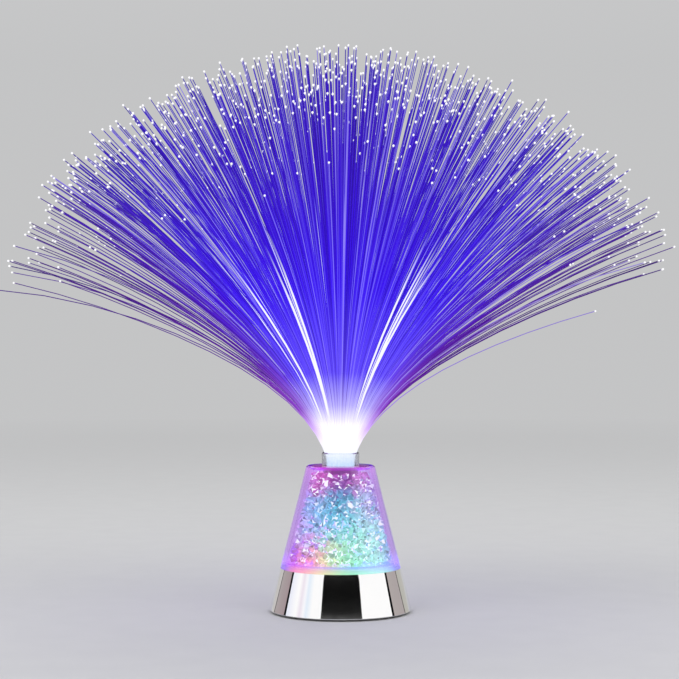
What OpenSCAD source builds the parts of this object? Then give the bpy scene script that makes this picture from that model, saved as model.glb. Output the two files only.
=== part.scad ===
// Fiber optic lamp: a chrome-plated battery base, a clear cone full of crystals,
// and a bundle of optical fibers that fans out into a dome.
// Millimetres, +Z up. The origin is on the floor, under the middle of the base.
// -Y is the front.

/* [Batteries] */
// Diameter of an AAA cell
cell_d = 10.5; // [10:0.1:11.5]
// Length of a cell, with its button
cell_l = 44.5; // [42:0.5:50]
// Diameter of a cell's button
cell_button_d = 3.8; // [3:0.1:5]
// Height of a cell's button
cell_button_h = 1; // [0.6:0.1:1.6]
// Clear space round a cell in its bay
cell_gap = 0.4; // [0.3:0.1:1]
// Length of a contact spring, pressed by its cell
spring_l = 5.5; // [4:0.1:8]
// Diameter of a contact spring
spring_d = 6; // [4:0.1:8]
// Wire of a contact spring
spring_wire = 0.6; // [0.4:0.05:0.8]
// Thickness of a contact plate
contact_t = 0.4; // [0.3:0.05:0.6]

/* [Base] */
// Height of the feet below the base
foot_h = 1; // [0.6:0.1:2]
// Diameter of a foot
foot_d = 7; // [5:0.5:8]
// Wall of the base shell
shell_t = 2; // [1.6:0.1:2.4]
// Slope of the base and the cone, from the vertical, in degrees
taper = 14.4; // [12:0.1:16]
// Clear space between the battery bay's corners and the base shell
bay_to_shell = 2.85; // [2:0.05:5]
// Thickness of the base shell's closed top
shell_top_t = 2; // [1.6:0.1:3]
// Radius of the rounded lower edge
edge_round = 0.8; // [0.3:0.1:1.2]
// Thickness of the bottom cover
cover_t = 2.6; // [2.4:0.1:3.4]
// Wall of the battery bay
bay_t = 1.5; // [1.3:0.1:2]
// Roof of the battery bay
roof_t = 1.4; // [1.2:0.1:2]
// Clear space between pieces that fit into one another
fit_gap = 0.2; // [0.1:0.05:0.3]

/* [Battery door] */
// Thickness of the door
door_t = 1.8; // [1.6:0.1:2]
// Width of the edge that the door rests on
door_ledge = 0.8; // [0.6:0.1:1]
// Clear space round the door
door_gap = 0.3; // [0.2:0.05:0.4]
// Length of a tab
tab_l = 2; // [1.5:0.1:2.4]
// Width of a tab
tab_w = 5; // [3:0.5:7]
// Thickness of a tab
tab_t = 0.6; // [0.5:0.1:0.7]
// Diameter of the door's screw
door_screw_d = 2.5; // [2:0.1:3]
// Length of the door's screw under its head
door_screw_l = 5; // [4:0.5:6]
// Play round the door's screw in its boss
door_screw_play = 0.4; // [0.35:0.05:0.6]

/* [Screws] */
// Diameter of a cover screw
cover_screw_d = 2.5; // [2:0.1:3]
// Length of a cover screw under its head
cover_screw_l = 9; // [7:0.5:12]
// Diameter of a screw's head
head_d = 4.6; // [4:0.1:5]
// Height of a screw's head
head_h = 0.9; // [0.7:0.1:1]
// Diameter of a screw boss
boss_d = 6; // [5:0.1:6.5]
// Angle of the cover screws from the side, in degrees
screw_angle = 20; // [18:1:25]
// Diameter of a board screw
board_screw_d = 1.8; // [1.5:0.1:2]

/* [Switch] */
// Width of the switch's case
switch_w = 6; // [5:0.1:7]
// Length of the switch's case
switch_l = 12; // [11:0.1:14]
// Height of the switch's case
switch_h = 5; // [4:0.1:6]
// Width of the slider's knob
knob_w = 3; // [2.4:0.1:3.4]
// Length of the slider's knob
knob_l = 4.5; // [4:0.1:5]
// How far the knob stands below the cover
knob_out = 0.4; // [0.2:0.1:0.5]
// Travel of the slider
switch_travel = 3.5; // [2.5:0.1:4]

/* [Lights] */
// Height of the posts under the circuit board
post_h = 1.4; // [1:0.1:3]
// Thickness of the circuit board
board_t = 1.6; // [1.2:0.1:2]
// Height of a light above the board
led_h = 8; // [7:0.1:9]
// Diameter of a light under the crystals
led_d = 5; // [4:0.1:6]
// Diameter of the light under the fibers
fiber_led_d = 10; // [8:0.1:11]
// Number of lights under the crystals
led_count = 6; // [4:1:6]
// Radius of the ring of lights
led_ring_r = 20; // [18:0.5:21]
// How far the lights stand up into the cone
led_stick = 1.1; // [0.6:0.1:2]
// Clear space round a light and above it
led_gap = 0.5; // [0.3:0.1:0.8]
// Thickness of the reflector round the lights
deck_t = 1.2; // [0.8:0.1:1.4]
// Diameter of a wire
wire_d = 1.2; // [0.8:0.1:1.4]

/* [Cone] */
// Height of the clear cone above the base
cone_h = 58.9; // [50:0.1:66]
// Wall of the clear cone
cone_t = 3; // [2:0.1:3.5]
// How far the cone's spigot stands in the base
spigot_h = 1.4; // [1:0.1:2]
// Thickness of the cone's floor
floor_t = 2; // [1.5:0.1:3]
// Thickness of the cone's top plate
top_t = 2.2; // [1.5:0.1:3]
// Wall of the centre tube
tube_t = 1.4; // [1:0.1:2]
// Usual size of a crystal
crystal_size = 8.2; // [7:0.1:10]

/* [Fiber bundle] */
// Radius of the bound fibers
bundle_r = 9.4; // [8.4:0.1:10]
// Wall of the ferrule
ferrule_t = 0.8; // [0.6:0.1:1.2]
// Length of the ferrule in the centre tube
ferrule_l = 30; // [20:1:40]
// Clear space round the ferrule in the centre tube
socket_gap = 0.1; // [0.05:0.01:0.1]
// Height of the collar above the cone
collar_h = 7.5; // [5:0.1:12]
// How far the collar rests on the cone's top
collar_seat = 0.5; // [0.4:0.1:1]
// Thickness of a slice of the bundle that carries its strands
slice_t = 1; // [0.8:0.1:2]
// Number of pairs of strands
strand_pairs = 160; // [150:1:170]
// Diameter of a strand
strand_d = 0.52; // [0.4:0.02:0.56]
// Length of the longest strand above the bundle
strand_l = 237; // [180:1:260]
// How much the strands' lengths differ
length_spread = 12; // [0:1:20]
// Lean of the outermost strands to the sides, in degrees
side_lean = 64; // [50:1:72]
// Lean of the outermost strands to the front and back, in degrees
front_lean = 42; // [35:1:60]
// Further lean at the tips from a strand's own weight, in degrees
droop = 14; // [0:1:16]
// Length over which a strand bends outwards
bend_l = 40; // [25:1:55]
// Share of its lean that a strand has where it leaves the bundle
first_lean = 0.3; // [0.1:0.05:0.5]
// Further lean of the few strands that have strayed lowest, in degrees
stray_lean = 12; // [0:1:16]

/* [Hidden] */
$fn = 64;
eps = 0.01;

// Heights from the floor up
door_top_z = foot_h + door_t;
cover_top_z = foot_h + cover_t;
cell_z = door_top_z + cell_gap + cell_d / 2;
bay_ceiling_z = cell_z + cell_d / 2 + cell_gap;
bay_top_z = bay_ceiling_z + roof_t;
board_z = bay_top_z + post_h;
board_top_z = board_z + board_t;
led_top_z = board_top_z + led_h;
joint_z = led_top_z - led_stick;
shell_top_z = joint_z - spigot_h - fit_gap;
floor_z = led_top_z + led_gap;
floor_top_z = floor_z + floor_t;
rim_z = joint_z + cone_h;
plate_z = rim_z - top_t;
ferrule_z = rim_z - ferrule_l;
collar_top_z = rim_z + collar_h;
slice_top_z = collar_top_z + slice_t / 2;
slice_z = slice_top_z - slice_t;

// The bay holds three cells side by side
cells = 3;
cell_pitch = cell_d + cell_gap;
bay_w = cells * cell_pitch + cell_gap;
bay_l = cell_l + spring_l + 2 * contact_t + fit_gap;
bay_corner_r = norm([bay_w / 2 + bay_t, bay_l / 2 + bay_t]);

// The base and the clear cone share one straight side, which clears the bay's corners
slope = tan(taper);
cone_r0 = bay_corner_r + bay_to_shell + shell_t + bay_top_z * slope;
function cone_r(z) = cone_r0 - z * slope;
function shell_in_r(z) = cone_r(z) - shell_t;
function cone_in_r(z) = cone_r(z) - cone_t;

// Screws and bosses
boss_r = boss_d / 2;
boss_pos_r = cone_r(shell_top_z) - shell_t / 2 - boss_r;
boss_angles = [screw_angle, 180 - screw_angle, 180 + screw_angle, -screw_angle];
head_sink = head_h + 0.1;
pilot_gap = 0.05;
hole_gap = 0.25;
pilot_spare = 0.6;

// Feet, between the door and the edge of the cover
foot_sink = 0.6;
foot_pos_r = shell_in_r(foot_h) - fit_gap - foot_d / 2 - 0.6;
foot_angle = 47;

// Door
door_w = bay_w + 2 * door_ledge;
door_half_l = bay_l / 2 + door_ledge;
tab_x = bay_w / 4;
tab_z = foot_h + door_t - tab_t - 0.2;
tab_room = tab_l + tab_t;
tab_tip_r = norm([tab_l, tab_z + tab_t / 2 - foot_h]);
tongue_w = 11;
door_boss_r = door_screw_d / 2 + door_screw_play + 1.6;
door_screw_y = bay_l / 2 + bay_t + door_boss_r - 0.2;
tongue_end_y = door_screw_y + head_d / 2 + 1.2;
door_boss_top_z = foot_h + head_sink + door_screw_l + pilot_spare + 1;

// Switch, beside the bay
switch_x = bay_w / 2 + bay_t + 1 + switch_w / 2;
guide_t = 1.2;
guide_h = 3;
slider_flange = 0.6;
slider_t = 1;
pin_h = 2;
pin_w = 1;
pin_y = 2;

// Board and what it carries
board_r = led_ring_r + 4;
post_r = 2;
post_x = board_r / 2;
post_y = board_r * 2 / 3;
board_screw_l = board_t + post_h + roof_t - 0.4;
flange_h = 1;
flange_out = 0.4;
chip_size = [5, 4, 1.5];
resistor_size = [2.2, 1.2, 0.6];
between_lights_r = (fiber_led_d / 2 + led_ring_r) / 2;
contact_h = cell_d - 1.5;
lug_w = 3;
lug_h = 1.4;

// Centre tube, ferrule and collar
bind_gap = 0.05;
ferrule_r = bundle_r + bind_gap + ferrule_t;
socket_r = ferrule_r + socket_gap;
tube_r = socket_r + tube_t;
collar_r = socket_r + collar_seat;

// Strands stand in three rings of slices, which keep clear of one another
slice_step = strand_d + 0.08;
slice_gap = 0.05;
root_spread = bundle_r - 2 * slice_step - strand_d / 2;
crown_pairs = round(strand_pairs / 3);
mid_pairs = round(strand_pairs * 2 / 3);
golden_half = 180 * (3 - sqrt(5)) / 2;
lean_jitter = 4;
walk_steps = 24;

// A number from 0 to 1 that looks random and is the same each time
function chance(i, k) = let (v = sin(i * 127.1 + k * 311.7) * 43758.5453) v - floor(v);

// The faces of a run of rings of points, closed at both ends
function ring_faces(rings, sides, first) = concat(
    [[for (j = [0:sides - 1]) first + j]],
    [for (k = [0:rings - 2]) for (j = [0:sides - 1])
        let (a = first + k * sides, n = (j + 1) % sides)
        each [[a + j, a + sides + j, a + sides + n], [a + j, a + sides + n, a + n]]],
    [[for (j = [sides - 1:-1:0]) first + (rings - 1) * sides + j]]);

// A ring of points round c, square to the direction t, with its first point along e1
function ring(c, t, e1, r, sides) = let (e2 = cross(t, e1))
    [for (j = [0:sides - 1]) c + r * (cos(360 * j / sides) * e1 + sin(360 * j / sides) * e2)];

function unit(v) = v / norm(v);

// A round tube along a path that never runs along the direction ref
module tube_along(path, r, sides, ref) {
    last = len(path) - 1;
    points = [for (k = [0:last])
        let (t = unit(path[min(k + 1, last)] - path[max(k - 1, 0)]))
        each ring(path[k], t, unit(cross(t, ref)), r, sides)];
    polyhedron(points, ring_faces(last + 1, sides, 0));
}

// A smooth path from a to b that leaves a towards p and reaches b from q
function arc_path(a, p, q, b, steps) = [for (k = [0:steps]) let (t = k / steps, s = 1 - t)
    s * s * s * a + 3 * s * s * t * p + 3 * s * t * t * q + t * t * t * b];

// A screw with its head's underside at the origin and its point upwards
module screw(d, l, big_d, big_h) {
    cylinder(h = l, r = d / 2);
    difference() {
        translate([0, 0, -big_h]) cylinder(h = big_h, r = big_d / 2);
        for (turn = [0, 90]) rotate([0, 0, turn])
            translate([-big_d * 0.32, -0.3, -big_h - eps]) cube([big_d * 0.64, 0.6, big_h / 2]);
    }
}

// A light with a round body, a flange at the board and a domed top
module light(d, h) {
    r = d / 2;
    dome = [for (a = [0:10:80]) [r * cos(a), h - r + r * sin(a)]];
    rotate_extrude() polygon(concat(
        [[0, 0], [r + flange_out, 0], [r + flange_out, flange_h], [r, flange_h]], dome, [[0, h]]));
}

// ---- Base ----

module base_shell() color("gainsboro") difference() {
    union() {
        difference() {
            rotate_extrude($fn = 128) {
                low_r = cone_r(foot_h);
                arc = [for (a = [-90:15:-taper])
                    [low_r - edge_round + edge_round * cos(a), foot_h + edge_round + edge_round * sin(a)]];
                polygon(concat([[0, foot_h]], arc, [[cone_r(joint_z), joint_z], [0, joint_z]]));
            }
            // Room inside, below the closed top
            translate([0, 0, foot_h - eps]) cylinder(h = shell_top_z - shell_top_t - foot_h + eps,
                r1 = shell_in_r(foot_h - eps), r2 = shell_in_r(shell_top_z - shell_top_t), $fn = 128);
            // Seat of the cone's spigot, above the closed top
            translate([0, 0, shell_top_z]) cylinder(h = joint_z - shell_top_z + eps,
                r = shell_in_r(joint_z), $fn = 128);
        }
        for (a = boss_angles) rotate([0, 0, a]) translate([boss_pos_r, 0, cover_top_z])
            cylinder(h = shell_top_z - cover_top_z - eps, r = boss_r);
    }
    for (a = boss_angles) rotate([0, 0, a]) translate([boss_pos_r, 0, cover_top_z - eps])
        cylinder(h = cover_screw_l + pilot_spare, r = cover_screw_d / 2 + pilot_gap);
    light_holes(shell_top_z - shell_top_t - eps, shell_top_t + 2 * eps);
}

// Holes for the lights through a plate
module light_holes(z, h) {
    translate([0, 0, z]) cylinder(h = h, r = fiber_led_d / 2 + led_gap);
    for (k = [0:led_count - 1]) rotate([0, 0, light_angle(k)])
        translate([led_ring_r, 0, z]) cylinder(h = h, r = led_d / 2 + led_gap);
}

function light_angle(k) = 360 / led_count * (k + 0.5);

module bottom_cover() color("dimgray") difference() {
    union() {
        translate([0, 0, foot_h]) cylinder(h = cover_t, r1 = shell_in_r(foot_h) - fit_gap,
            r2 = shell_in_r(cover_top_z) - fit_gap, $fn = 128);
        translate([-bay_w / 2 - bay_t, -bay_l / 2 - bay_t, foot_h])
            cube([bay_w + 2 * bay_t, bay_l + 2 * bay_t, bay_top_z - foot_h]);
        for (x = [-post_x, post_x], y = [-post_y, post_y])
            translate([x, y, bay_top_z - eps]) cylinder(h = post_h + eps, r = post_r);
        translate([0, door_screw_y, foot_h]) cylinder(h = door_boss_top_z - foot_h, r = door_boss_r);
        // Guides at the switch's ends
        for (side = [-1, 1]) let (y = side * (switch_l / 2 + fit_gap + guide_t / 2) - guide_t / 2)
            translate([switch_x - switch_w / 2, y, foot_h])
                cube([switch_w, guide_t, cover_t + guide_h]);
    }
    // The bay
    translate([-bay_w / 2, -bay_l / 2, foot_h]) cube([bay_w, bay_l, bay_ceiling_z - foot_h]);
    // Recess of the door and of its tongue
    translate([-door_w / 2 - door_gap, -door_half_l - door_gap, foot_h - eps])
        cube([door_w + 2 * door_gap, 2 * (door_half_l + door_gap), door_t + fit_gap + eps]);
    translate([-tongue_w / 2 - door_gap, 0, foot_h - eps])
        cube([tongue_w + 2 * door_gap, tongue_end_y + door_gap, door_t + fit_gap + eps]);
    // Room for the tabs, also while the door swings
    for (side = [-1, 1])
        translate([side * tab_x - tab_w / 2 - door_gap, -door_half_l - tab_l - door_gap, tab_z - door_gap])
            cube([tab_w + 2 * door_gap, tab_l + 2 * door_gap, tab_room + door_gap]);
    // Holes for the screws
    translate([0, door_screw_y, foot_h]) cylinder(h = head_sink + door_screw_l + pilot_spare,
        r = door_screw_d / 2 + door_screw_play);
    for (a = boss_angles) rotate([0, 0, a]) translate([boss_pos_r, 0, foot_h - eps]) {
        cylinder(h = cover_t + 2 * eps, r = cover_screw_d / 2 + hole_gap);
        cylinder(h = head_sink + eps, r = head_d / 2 + hole_gap);
    }
    for (side = [-1, 1]) translate([side * post_x, side * post_y, bay_ceiling_z - eps])
        cylinder(h = roof_t + post_h + 2 * eps, r = board_screw_d / 2 + pilot_gap);
    // Seats of the feet
    foot_places(foot_h - eps) cylinder(h = foot_sink + eps, r = foot_d / 2 + pilot_gap);
    // Slot of the switch's knob
    translate([switch_x - knob_w / 2 - fit_gap, -(knob_l + switch_travel) / 2 - fit_gap, foot_h - eps])
        cube([knob_w + 2 * fit_gap, knob_l + switch_travel + 2 * fit_gap, cover_t + 2 * eps]);
    // Slots for the contacts' lugs
    for (end = [-1, 1])
        translate([end * cell_pitch - lug_w / 2 - fit_gap, contact_y(end) - fit_gap, bay_ceiling_z - eps])
            cube([lug_w + 2 * fit_gap, contact_t + 2 * fit_gap, roof_t + 2 * eps]);
}

// Where the contacts at one end of the bay start
function contact_y(end) = end * (bay_l / 2 - contact_t / 2) - contact_t / 2;

module foot_places(z) for (a = [foot_angle, 180 - foot_angle, 180 + foot_angle, -foot_angle])
    rotate([0, 0, a]) translate([foot_pos_r, 0, z]) children();

module rubber_feet() color("black") foot_places(0)
    rotate_extrude() {
        r = foot_d / 2;
        polygon([[0, 0], [r - 0.5, 0], [r, 0.4], [r, foot_h + foot_sink], [0, foot_h + foot_sink]]);
    }

module cover_screws() color("silver") for (a = boss_angles) rotate([0, 0, a])
    translate([boss_pos_r, 0, foot_h + head_sink]) screw(cover_screw_d, cover_screw_l, head_d, head_h);

module battery_door() color("dimgray") difference() {
    union() {
        translate([-door_w / 2, -door_half_l, foot_h]) cube([door_w, 2 * door_half_l, door_t]);
        translate([-tongue_w / 2, 0, foot_h]) cube([tongue_w, tongue_end_y, door_t]);
        // The tabs' tips are round about the line that the door tilts on
        for (side = [-1, 1]) intersection() {
            translate([side * tab_x - tab_w / 2, -door_half_l - tab_tip_r, tab_z])
                cube([tab_w, tab_tip_r + 1, tab_t]);
            translate([side * tab_x - tab_w / 2, -door_half_l, foot_h]) rotate([0, 90, 0])
                cylinder(h = tab_w, r = tab_tip_r);
        }
    }
    translate([0, door_screw_y, foot_h - eps]) {
        cylinder(h = door_t + 2 * eps, r = door_screw_d / 2 + pilot_gap);
        cylinder(h = head_sink + eps, r = head_d / 2 + hole_gap);
    }
    // Grip ribs pressed into the outside
    for (k = [-2:2]) translate([-door_w / 4, bay_l / 4 + k * 2.4, foot_h - eps]) cube([door_w / 2, 1, 0.5]);
}

module door_screw() color("silver") translate([0, door_screw_y, foot_h + head_sink])
    screw(door_screw_d, door_screw_l, head_d, head_h);

// ---- Batteries and contacts ----

// The middle cell points the other way
function cell_end(k) = k == 1 ? -1 : 1;

module cell(k) translate([(k - 1) * cell_pitch, 0, cell_z]) rotate([-90 * cell_end(k), 0, 0]) {
    flat_end = -bay_l / 2 + contact_t + spring_l + fit_gap / 2;
    body_l = cell_l - cell_button_h;
    translate([0, 0, flat_end]) rotate_extrude() {
        r = cell_d / 2;
        polygon([[0, 0], [r - 0.5, 0], [r, 0.5], [r, body_l - 0.5], [r - 0.5, body_l],
            [cell_button_d / 2, body_l], [cell_button_d / 2, cell_l - 0.2],
            [cell_button_d / 2 - 0.2, cell_l], [0, cell_l]]);
    }
}

module battery_1() color("darkgreen") cell(0);
module battery_2() color("darkgreen") cell(1);
module battery_3() color("darkgreen") cell(2);

// One plate touches one cell and the other joins two. The lug goes through the bay's roof
module contacts(end) {
    y = contact_y(end);
    z = cell_z - contact_h / 2;
    single_w = cell_d - 1.5;
    translate([end * cell_pitch - single_w / 2, y, z]) cube([single_w, contact_t, contact_h]);
    translate([end * cell_pitch - lug_w / 2, y, z]) cube([lug_w, contact_t, bay_top_z + lug_h - z]);
    translate([-end * cell_pitch / 2 - (cell_pitch + single_w) / 2, y, z])
        cube([cell_pitch + single_w, contact_t, contact_h]);
}

module front_contacts() color("silver") contacts(-1);
module rear_contacts() color("silver") contacts(1);

module contact_springs() color("silver") for (k = [0:cells - 1])
    translate([(k - 1) * cell_pitch, 0, cell_z]) rotate([-90 * cell_end(k), 0, 0]) {
        turns = 3.5;
        low = -bay_l / 2 + contact_t + spring_wire / 2 + fit_gap / 4;
        rise = spring_l - spring_wire;
        path = [for (s = [0:1 / 28:1 + eps])
            let (a = 360 * turns * s, r = spring_d / 2 - spring_wire / 2 - s)
            [r * cos(a), r * sin(a), low + rise * s]];
        tube_along(path, spring_wire / 2, 6, [0, 0, 1]);
    }

// ---- Switch ----

module switch_body() color("silver") difference() {
    union() {
        translate([switch_x - switch_w / 2, -switch_l / 2, cover_top_z])
            cube([switch_w, switch_l, switch_h]);
        for (y = [-pin_y, pin_y])
            translate([switch_x - pin_w / 2, y - pin_w / 2, cover_top_z + switch_h - eps])
                cube([pin_w, pin_w, pin_h + eps]);
    }
    translate([switch_x - knob_w / 2 - slider_flange - fit_gap,
        -(knob_l + switch_travel) / 2 - slider_flange - fit_gap, cover_top_z - eps])
        cube([knob_w + 2 * (slider_flange + fit_gap),
            knob_l + switch_travel + 2 * (slider_flange + fit_gap), slider_t + 2 * fit_gap + eps]);
}

// The slider rests at the front end of its travel, which is off
module switch_slider() color("black") translate([switch_x, -switch_travel / 2, 0]) {
    difference() {
        translate([-knob_w / 2, -knob_l / 2, foot_h - knob_out])
            cube([knob_w, knob_l, cover_top_z + fit_gap - foot_h + knob_out + eps]);
        for (k = [-1:1]) translate([-knob_w / 2 - eps, k * 1.2 - 0.25, foot_h - knob_out - eps])
            cube([knob_w + 2 * eps, 0.5, 0.3]);
    }
    translate([-knob_w / 2 - slider_flange, -knob_l / 2 - slider_flange, cover_top_z + fit_gap])
        cube([knob_w + 2 * slider_flange, knob_l + 2 * slider_flange, slider_t]);
}

// ---- Lights ----

module led_board() color("darkgreen") difference() {
    translate([0, 0, board_z]) cylinder(h = board_t, r = board_r);
    for (side = [-1, 1]) translate([side * post_x, side * post_y, board_z - eps])
        cylinder(h = board_t + 2 * eps, r = board_screw_d / 2 + pilot_gap);
}

module board_screws() color("silver") for (side = [-1, 1])
    translate([side * post_x, side * post_y, board_top_z]) rotate([180, 0, 0])
        screw(board_screw_d, board_screw_l, board_screw_d * 2, head_h);

module fiber_led() color("white") translate([0, 0, board_top_z]) light(fiber_led_d, led_h);

module crystal_leds() color("white") for (k = [0:led_count - 1]) rotate([0, 0, light_angle(k)])
    translate([led_ring_r, 0, board_top_z]) light(led_d, led_h);

// The chip lies between two lights, and each resistor beside its own
module control_chip() color("black")
    translate([-between_lights_r - chip_size[0] / 2, -chip_size[1] / 2, board_top_z]) cube(chip_size);

module resistors() color("saddlebrown") for (k = [0:led_count - 1]) rotate([0, 0, light_angle(k)])
    translate([between_lights_r - resistor_size[0] / 2, -resistor_size[1] / 2, board_top_z])
        cube(resistor_size);

// A wire's path from a to b, upright at both ends
function lead_path(a, p, q, b, steps) = let (stub = [0, 0, wire_d / 2])
    concat([a], arc_path(a + stub, p, q, b + stub, steps), [b]);

module wires() {
    rise = 3.6;
    inward = 0.76;
    // Battery leads, from the lugs to the board
    for (end = [-1, 1]) color(end < 0 ? "black" : "red") {
        a = [end * cell_pitch, end * (bay_l / 2 - contact_t / 2), bay_top_z + lug_h];
        b = [a[0] * inward, a[1] * inward, board_top_z];
        tube_along(lead_path(a, a + [0, end, rise], b + [0, 0, rise], b, 8), wire_d / 2, 6, [1, 0, 0]);
    }
    // Switch leads, round the board's edge
    for (y = [-pin_y, pin_y]) color("red") {
        a = [switch_x, y, cover_top_z + switch_h + pin_h];
        b = [board_r - 2.5, y, board_top_z];
        out = board_r + 6;
        tube_along(lead_path(a, [out, y, a[2] + 5], [out - 1.5, y, b[2] + 5], b, 10),
            wire_d / 2, 6, [0, 1, 0]);
    }
}

module light_deck() color("white") difference() {
    translate([0, 0, shell_top_z]) cylinder(h = deck_t, r = spigot_in_r() - fit_gap, $fn = 96);
    light_holes(shell_top_z - eps, deck_t + 2 * eps);
}

// ---- Cone ----

// The floor goes in from below, so the spigot leaves it room
function spigot_in_r() = cone_in_r(floor_z) + fit_gap / 2;

module crystal_cone() color([0.75, 0.65, 0.95, 0.35]) rotate_extrude($fn = 128) polygon([
    [spigot_in_r(), joint_z - spigot_h], [shell_in_r(joint_z) - fit_gap / 2, joint_z - spigot_h],
    [shell_in_r(joint_z) - fit_gap / 2, joint_z], [cone_r(joint_z), joint_z],
    [cone_r(rim_z - edge_round), rim_z - edge_round], [cone_r(rim_z) - edge_round, rim_z],
    [cone_in_r(rim_z), rim_z], [cone_in_r(floor_z) + fit_gap / 2, floor_z]]);

module cone_floor() color([0.85, 0.85, 1, 0.4]) translate([0, 0, floor_z])
    cylinder(h = floor_t, r1 = cone_in_r(floor_z) - bind_gap,
        r2 = cone_in_r(floor_top_z) - bind_gap, $fn = 96);

module top_plate() color([0.85, 0.7, 1, 0.5]) difference() {
    translate([0, 0, plate_z]) cylinder(h = top_t, r1 = cone_in_r(plate_z) - bind_gap,
        r2 = cone_in_r(rim_z) - bind_gap, $fn = 96);
    translate([0, 0, plate_z - eps]) cylinder(h = top_t + 2 * eps, r = socket_r);
}

module center_tube() color([0.9, 0.9, 1, 0.4]) difference() {
    translate([0, 0, floor_top_z]) cylinder(h = plate_z - floor_top_z, r = tube_r);
    translate([0, 0, floor_top_z - eps]) cylinder(h = plate_z - floor_top_z + 2 * eps, r = socket_r);
}

// A crystal has two rings of corners between two points. Its size differs in each direction
crystal_sides = 6;
crystal_points = 2 * crystal_sides + 2;
crystal_step = 360 / crystal_sides;

function crystal_at(place, turn, half, id) = let (
    corner = function (r, a, z, k) let (q = 0.95 + 0.05 * chance(id, k), b = a + 14 * chance(id, k + 30))
        [half[0] * r * q * cos(b), half[1] * r * q * sin(b), half[2] * z * q],
    raw = concat([[0, 0, -half[2]]],
        [for (j = [0:crystal_sides - 1]) corner(0.98, crystal_step * j, -0.42, j)],
        [for (j = [0:crystal_sides - 1]) corner(0.98, crystal_step * (j + 0.5), 0.42, j + 10)],
        [[0, 0, half[2]]]))
    [for (p = raw) [place[0] + p[0] * cos(turn) - p[1] * sin(turn),
        place[1] + p[0] * sin(turn) + p[1] * cos(turn), place[2] + p[2]]];

function crystal_faces(first) = let (n = crystal_sides) concat(
    [for (j = [0:n - 1]) [first, first + 1 + j, first + 1 + (j + 1) % n]],
    [for (j = [0:n - 1]) let (a = first + 1 + j, b = first + 1 + (j + 1) % n, c = first + 1 + n + j)
        [a, c, b]],
    [for (j = [0:n - 1]) let (c = first + 1 + n + j, b = first + 1 + (j + 1) % n,
        d = first + 1 + n + (j + 1) % n) [c, d, b]],
    [for (j = [0:n - 1]) let (c = first + 1 + n + j, d = first + 1 + n + (j + 1) % n)
        [c, first + 2 * n + 1, d]]);

// Crystals stand in layers, and each layer in rings between the tube and the cone
module crystals() color([0.45, 0.55, 0.95]) {
    layers = round((plate_z - floor_top_z) / crystal_size);
    layer_h = (plate_z - floor_top_z) / layers;
    fill = 0.97;
    stones = [for (k = [0:layers - 1])
        let (z = floor_top_z + layer_h * (k + 0.5), room = cone_in_r(z + layer_h / 2) - tube_r,
            rings = max(1, round(room / crystal_size)), across = room / rings)
        for (m = [0:rings - 1])
            let (r = tube_r + across * (m + 0.5), count = floor(360 / (2 * asin(crystal_size / 2 / r))),
                along = 2 * r * sin(180 / count), id = 100 * k + 40 * m)
            for (n = [0:count - 1])
                let (a = 360 / count * (n + 0.5 * (k % 2)))
                crystal_at([r * cos(a), r * sin(a), z], a, fill / 2 * [across, along, layer_h], id + n)];
    polyhedron([for (s = stones) each s],
        [for (k = [0:len(stones) - 1]) each crystal_faces(k * crystal_points)]);
}

// ---- Fiber bundle ----

module bundle_ferrule() color("black") difference() {
    translate([0, 0, ferrule_z]) cylinder(h = ferrule_l, r = ferrule_r);
    translate([0, 0, ferrule_z - eps]) cylinder(h = ferrule_l + 2 * eps, r = bundle_r + bind_gap);
}

module bundle_collar() color([0.8, 0.85, 0.9, 0.6]) difference() {
    translate([0, 0, rim_z]) rotate_extrude() polygon([[0, 0], [collar_r, 0], [collar_r, collar_h - 0.6],
        [collar_r - 0.6, collar_h], [0, collar_h]]);
    translate([0, 0, rim_z - eps]) cylinder(h = collar_h + 2 * eps, r = bundle_r + bind_gap);
}

module fiber_core() color("white") translate([0, 0, ferrule_z])
    cylinder(h = slice_z - ferrule_z, r = bundle_r);

// Roots lie on a spiral, in pairs on opposite sides. Each strand stays in its own upright
// half plane, and one that starts further out leans further at every height, so none cross.
function pair_share(i) = sqrt((i + 0.5) / strand_pairs);
function group_of(i) = i < crown_pairs ? 0 : i < mid_pairs ? 1 : 2;
function slice_edge(i, g) = root_spread * sqrt(i / strand_pairs) + slice_step * (g + 0.5);
function root_r(i) = root_spread * pair_share(i) + slice_step * group_of(i);
function full_lean(i) = let (a = golden_half * i, u = pair_share(i))
    u / norm([cos(a) / side_lean, sin(a) / front_lean]) + lean_jitter * u * (chance(i, 1) - 0.5)
    + stray_lean * pow(u, 8) * pow(chance(i, 3), 3) * pow(cos(a), 2);
function length_of(i) = strand_l - length_spread * chance(i, 2);

// Lean of a strand at the length s along it
function lean_at(i, s) = full_lean(i) * (1 - (1 - first_lean) * exp(-s / bend_l))
    + droop * sin(full_lean(i)) * pow(s / strand_l, 2);

// How far out and how far up a strand is at the length s along it
function strand_at(i, s, k = 0, sum = [0, 0]) = k == walk_steps ? sum
    : let (step = s / walk_steps, a = lean_at(i, (k + 0.5) * step))
        strand_at(i, s, k + 1, sum + step * [sin(a), cos(a)]);

// The rings of a strand's corners. The first lies in the slice and the second on its top
function strand_points(i, half, shares) = let (a = golden_half * i + 180 * half, out = [cos(a), sin(a), 0],
    up = [0, 0, 1], foot = root_r(i) * out + slice_top_z * up)
    concat(ring(foot - slice_t / 2 * up, up, out, strand_d / 2, 3),
        ring(foot, up, out, strand_d / 2, 3),
        [for (share = shares)
            let (s = length_of(i) * share, p = strand_at(i, s), tilt = lean_at(i, s),
                t = sin(tilt) * out + cos(tilt) * up, e1 = cos(tilt) * out - sin(tilt) * up)
            each ring(foot + p[0] * out + p[1] * up, t, e1, strand_d / 2, 3)]);

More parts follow.
